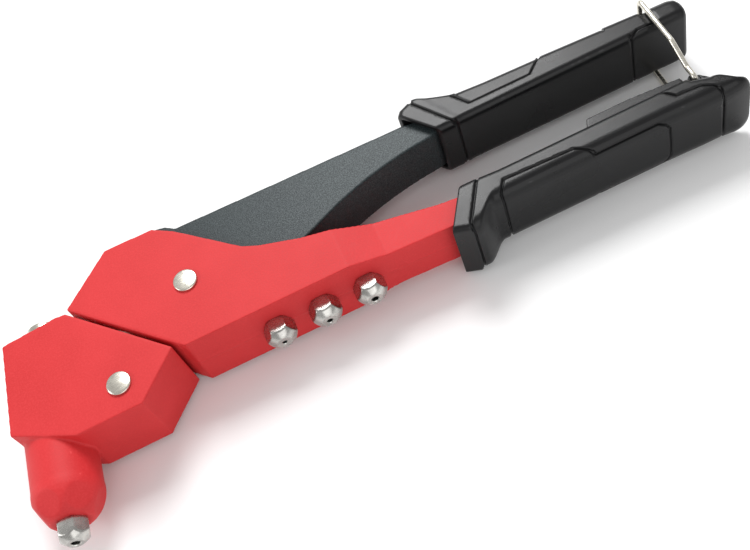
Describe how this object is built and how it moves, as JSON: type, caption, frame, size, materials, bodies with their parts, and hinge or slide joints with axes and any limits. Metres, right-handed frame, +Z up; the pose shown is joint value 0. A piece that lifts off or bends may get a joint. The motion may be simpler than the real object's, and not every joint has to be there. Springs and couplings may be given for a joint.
{
  "type": "swivel-head hand riveter",
  "caption": "Hand riveter with a swivelling head, a long hinged lever, moulded grips, a wire latch and hexagonal nosepieces stored under the body.",
  "frame": {"origin": "centre of the fitted nosepiece's mouth, in the tool's middle plane", "axes": "+X along the handles, away from the head; +Y from the nosepiece towards the lever; +Z up, square to the tool's flat sides, so the tool lies on its side"},
  "size_m": [0.2783, 0.0987, 0.0306],
  "materials": {
    "red_paint": "fine textured powder coat",
    "hammered_grey": "hammered enamel",
    "grip_plastic": "satin moulded",
    "bright_steel": "bright zinc plated",
    "plated_nosepiece": "nickel plated",
    "inner_steel": "oiled steel",
    "hardened_jaw": "hardened, dark"
  },
  "bodies": {
    "frame": {"body": "red_paint", "lower_grip": "grip_plastic", "lever_pivot_pin": "bright_steel", "swivel_bush": "inner_steel", "swivel_nut": "inner_steel", "swivel_washer": "bright_steel", "nosepiece_small": "plated_nosepiece", "nosepiece_medium": "plated_nosepiece", "nosepiece_large": "plated_nosepiece"},
    "lever": {"lever": "hammered_grey", "upper_grip": "grip_plastic", "drive_pin": "inner_steel"},
    "rod": {"pull_rod": "inner_steel"},
    "head": {"head": "red_paint", "rocker_pin": "bright_steel", "return_spring": "inner_steel", "rear_cap": "bright_steel", "nosepiece_fitted": "plated_nosepiece"},
    "rocker": {"rocker": "inner_steel"},
    "jaw_train": {"jaw_coupler": "inner_steel", "jaw_case": "inner_steel", "jaws": "hardened_jaw", "jaw_pusher": "inner_steel", "pusher_spring": "inner_steel"},
    "latch": {"latch_wire": "bright_steel"}
  },
  "joints": [
    {"name": "lever_hinge", "type": "hinge", "parent": "frame", "child": "lever", "pos_m": [0.064, 0.0673, 0], "axis": [0, 0, 1], "range_deg": [0, 34]},
    {"name": "rod_slide", "type": "slide", "parent": "frame", "child": "rod", "axis": [0.7071, 0.7071, 0], "range_m": [-0.00446, 0]},
    {"name": "head_swivel", "type": "hinge", "parent": "frame", "child": "head", "pos_m": [0.038, 0.0613, 0], "axis": [0.7071, 0.7071, 0], "continuous": true},
    {"name": "rocker_hinge", "type": "hinge", "parent": "head", "child": "rocker", "pos_m": [0.0317, 0.0402, 0], "axis": [0, 0, 1], "range_deg": [0, 24.4]},
    {"name": "jaw_slide", "type": "slide", "parent": "head", "child": "jaw_train", "axis": [0.0785, 0.9969, 0], "range_m": [-0.0121, 0]},
    {"name": "latch_hinge", "type": "hinge", "parent": "frame", "child": "latch", "pos_m": [0.2518, 0.0533, 0], "axis": [0, 0, -1], "range_deg": [0, 90], "deforming": ["latch_wire"]}
  ],
  "couplings": [
    {"joint": "rod_slide", "follows": "lever_hinge", "m_per_rad": -0.0075},
    {"joint": "rocker_hinge", "follows": "lever_hinge", "ratio": 0.71666},
    {"joint": "jaw_slide", "follows": "lever_hinge", "m_per_rad": -0.020388}
  ]
}
